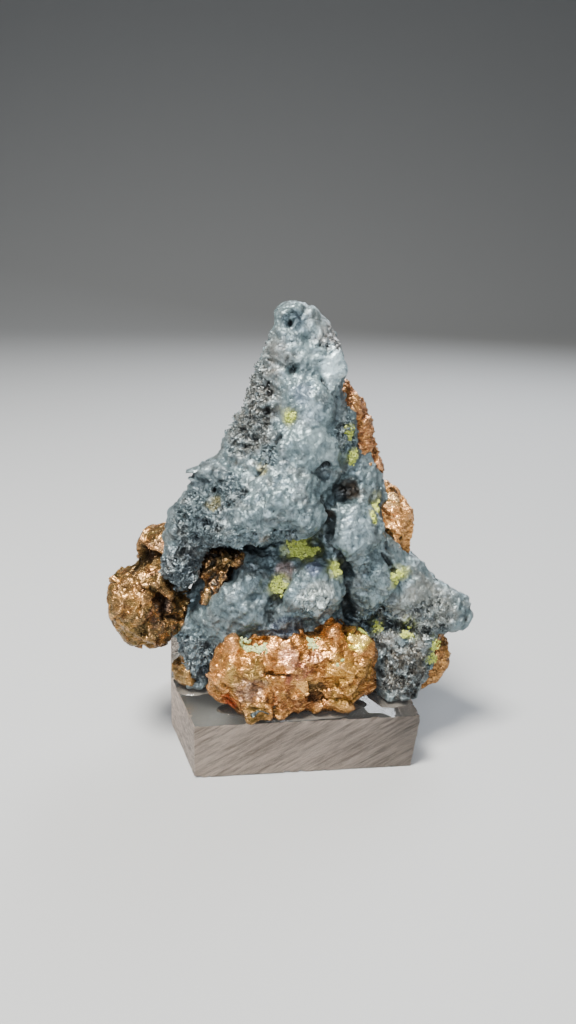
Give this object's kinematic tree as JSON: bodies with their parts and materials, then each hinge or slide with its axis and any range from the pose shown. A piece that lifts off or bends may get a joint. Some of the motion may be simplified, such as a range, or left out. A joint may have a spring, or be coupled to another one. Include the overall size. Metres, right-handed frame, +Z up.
{
  "type": "native silver specimen on acrylic block",
  "caption": "Knobbly spire of tarnished native silver grown together with native copper, fixed upright on a small clear acrylic block.",
  "frame": {"origin": "middle of the acrylic block's underside", "axes": "X runs along the block's front edge, -Y faces the viewer, +Z is up along the spire"},
  "size_m": [0.0393, 0.0217, 0.0474],
  "materials": {
    "native_silver": "tarnished native silver, blue-grey and hackly",
    "native_copper": "native copper with a golden brown patina",
    "mineral_crust": "powdery yellow-green crust",
    "clear_acrylic": "clear acrylic with polished faces and one frosted sawn face",
    "clear_adhesive": "clear set adhesive"
  },
  "bodies": {
    "root": {"native_silver": "native_silver", "acrylic_block": "clear_acrylic", "adhesive_front": "clear_adhesive", "adhesive_left": "clear_adhesive", "adhesive_right": "clear_adhesive", "adhesive_back": "clear_adhesive"}
  },
  "joints": []
}
